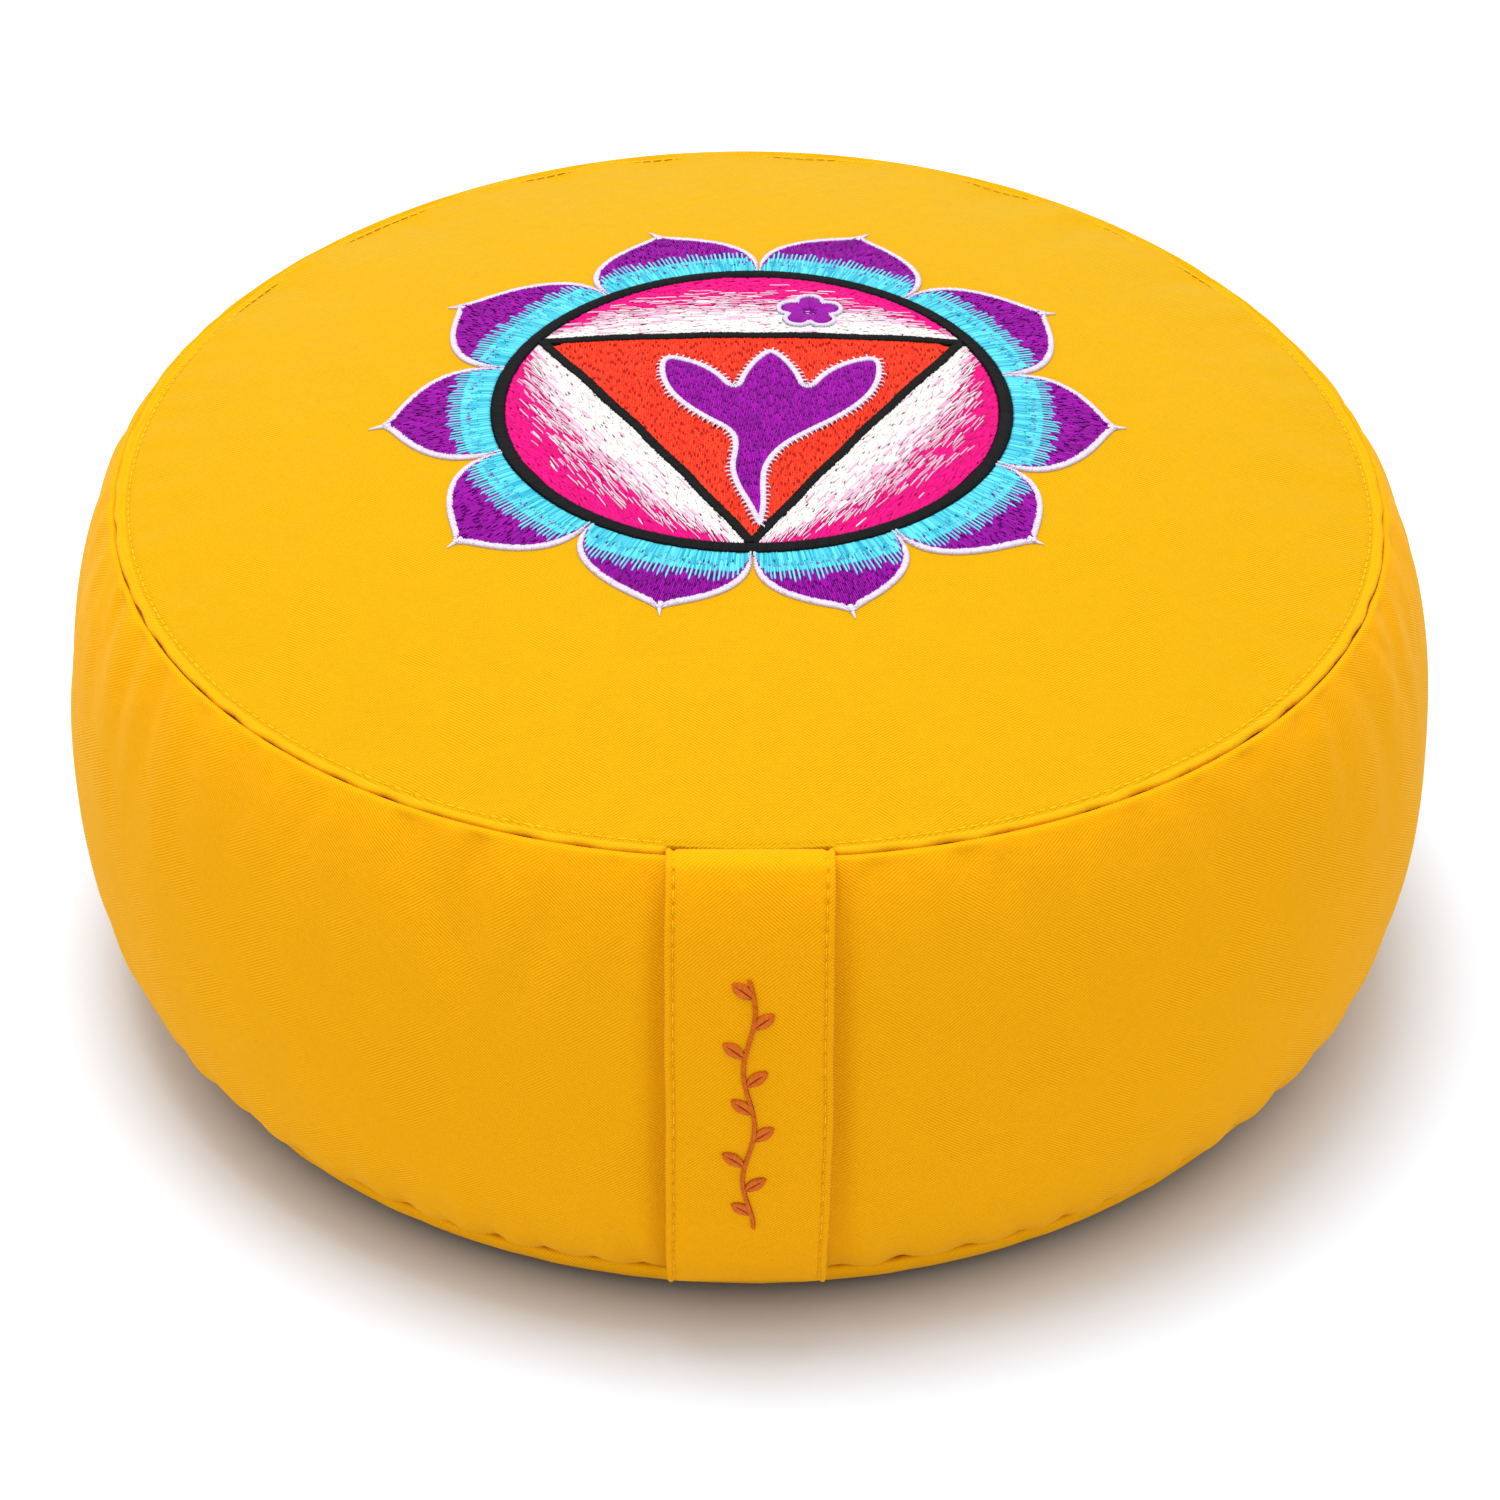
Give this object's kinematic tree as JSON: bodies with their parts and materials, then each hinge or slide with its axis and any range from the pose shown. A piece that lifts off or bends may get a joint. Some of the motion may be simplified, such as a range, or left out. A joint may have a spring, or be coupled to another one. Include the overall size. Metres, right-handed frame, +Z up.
{
  "type": "round meditation cushion",
  "caption": "Round, firmly filled floor cushion with a domed top, a bulging side band, a carry strap down the front and an embroidered lotus on top.",
  "frame": {"origin": "middle of the flat base on which the cushion rests", "axes": "+Z up through the middle of the crown, -Y towards the carry strap at the front, +X to the right of someone facing the strap"},
  "size_m": [0.3298, 0.3326, 0.1535],
  "materials": {
    "band_cloth": "matte cotton twill",
    "panel_cloth": "matte cotton twill",
    "base_cloth": "matte cotton twill",
    "strap_cloth": "matte cotton twill",
    "petal_thread": "satin stitched thread",
    "line_thread": "satin stitched thread",
    "side_field_thread": "satin stitched thread",
    "triangle_thread": "satin stitched thread",
    "flower_thread": "satin stitched thread",
    "blossom_thread": "satin stitched thread"
  },
  "bodies": {
    "root": {"side_band": "band_cloth", "top_panel": "panel_cloth", "bottom_panel": "base_cloth", "carry_strap": "strap_cloth", "petal_right": "petal_thread", "petal_back_right": "petal_thread", "petal_back_middle_right": "petal_thread", "petal_back_middle_left": "petal_thread", "petal_back_left": "petal_thread", "petal_left": "petal_thread", "petal_front_left": "petal_thread", "petal_front_middle_left": "petal_thread", "petal_front_middle_right": "petal_thread", "petal_front_right": "petal_thread", "ring_and_triangle_line": "line_thread", "side_field_back": "side_field_thread", "side_field_left": "side_field_thread", "side_field_right": "side_field_thread", "triangle_field": "triangle_thread", "flower": "flower_thread", "blossom": "blossom_thread"}
  },
  "joints": []
}
